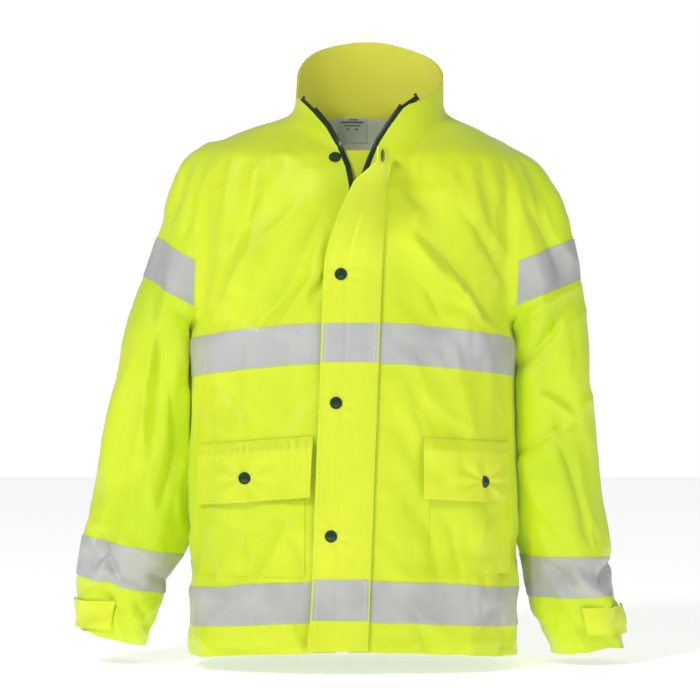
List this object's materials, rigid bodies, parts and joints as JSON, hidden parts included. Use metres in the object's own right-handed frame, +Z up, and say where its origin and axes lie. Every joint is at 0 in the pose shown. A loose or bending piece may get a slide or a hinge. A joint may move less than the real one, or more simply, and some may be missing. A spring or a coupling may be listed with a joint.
{
  "type": "foul weather jacket",
  "caption": "Waterproof high-visibility jacket with raglan sleeves, open stand collar, zip under a snapped storm flap, flapped patch pockets, cuff tabs and reflective bands",
  "frame": {"origin": "inside the neck opening, at the height of the side neck points and on the middle plane of the trunk", "axes": "+Z up, -Y out of the front, +X to the wearer's left"},
  "size_m": [0.7092, 0.3258, 0.7763],
  "materials": {
    "shell_cloth": "matte",
    "collar_lining": "matte",
    "lining": "matte",
    "label": "matte",
    "zip": "matte",
    "snap": "gloss",
    "reflective_tape": "satin",
    "hook_and_loop": "matte"
  },
  "bodies": {
    "shell": {"back_panel": "shell_cloth", "front_panel_right": "shell_cloth", "front_panel_left": "shell_cloth", "sleeve_right": "shell_cloth", "sleeve_left": "shell_cloth", "collar": "shell_cloth", "collar_lining": "collar_lining", "yoke_lining": "lining", "neck_label": "label", "inner_placket": "shell_cloth", "zip_tape_right": "zip", "zip_teeth_right": "zip", "zip_top_stop_right": "zip", "zip_tape_left": "zip", "zip_teeth_left": "zip", "zip_top_stop_left": "zip", "zip_box": "zip", "front_snap_stud_1": "snap", "front_snap_stud_2": "snap", "front_snap_stud_3": "snap", "front_snap_stud_4": "snap", "pocket_right": "shell_cloth", "pocket_snap_stud_right": "snap", "pocket_left": "shell_cloth", "pocket_snap_stud_left": "snap", "tape_chest_right": "reflective_tape", "tape_hem_right": "reflective_tape", "tape_chest_left": "reflective_tape", "tape_hem_left": "reflective_tape", "tape_chest_back": "reflective_tape", "tape_hem_back": "reflective_tape", "tape_upper_sleeve_right": "reflective_tape", "tape_upper_sleeve_left": "reflective_tape", "tape_lower_sleeve_right": "reflective_tape", "tape_lower_sleeve_left": "reflective_tape", "cuff_loop_right": "hook_and_loop", "cuff_loop_left": "hook_and_loop"},
    "slider": {"zip_slider": "snap"},
    "pull": {"zip_pull": "snap"},
    "front_flap": {"storm_flap": "shell_cloth", "tape_chest_flap": "reflective_tape", "tape_hem_flap": "reflective_tape", "flap_snap_cap_1": "snap", "flap_snap_cap_2": "snap", "flap_snap_cap_3": "snap", "flap_snap_cap_4": "snap"},
    "right_pocket_flap": {"pocket_flap_right": "shell_cloth", "pocket_snap_cap_right": "snap"},
    "left_pocket_flap": {"pocket_flap_left": "shell_cloth", "pocket_snap_cap_left": "snap"},
    "right_cuff_tab": {"cuff_tab_right": "shell_cloth", "cuff_hook_right": "hook_and_loop"},
    "left_cuff_tab": {"cuff_tab_left": "shell_cloth", "cuff_hook_left": "hook_and_loop"}
  },
  "joints": [
    {"name": "zip_travel", "type": "slide", "parent": "shell", "child": "slider", "axis": [-0.0273, -0.0439, -0.9987], "range_m": [0, 0.5]},
    {"name": "zip_pull_swing", "type": "hinge", "parent": "slider", "child": "pull", "pos_m": [0.00162, -0.11904, -0.10481], "axis": [-0.9996, 0, 0.0273], "range_deg": [0, 120]},
    {"name": "storm_flap_turn", "type": "hinge", "parent": "shell", "child": "front_flap", "pos_m": [0.03824, -0.11645, -0.095], "axis": [0.0374, 0.0436, 0.9983], "range_deg": [0, 90]},
    {"name": "pocket_flap_right_lift", "type": "hinge", "parent": "shell", "child": "right_pocket_flap", "pos_m": [-0.14349, -0.10546, -0.40775], "axis": [-0.8989, 0.4318, -0.075], "range_deg": [0, 110]},
    {"name": "pocket_flap_left_lift", "type": "hinge", "parent": "shell", "child": "left_pocket_flap", "pos_m": [0.16514, -0.09078, -0.40703], "axis": [-0.8409, -0.5385, 0.0542], "range_deg": [0, 110]},
    {"name": "cuff_tab_right_open", "type": "hinge", "parent": "shell", "child": "right_cuff_tab", "pos_m": [-0.29727, -0.03073, -0.608], "axis": [0.1821, -0.1144, 0.9766], "range_deg": [0, 100]},
    {"name": "cuff_tab_left_open", "type": "hinge", "parent": "shell", "child": "left_cuff_tab", "pos_m": [0.28418, -0.03344, -0.616], "axis": [0.2247, 0.064, -0.9723], "range_deg": [0, 100]}
  ]
}
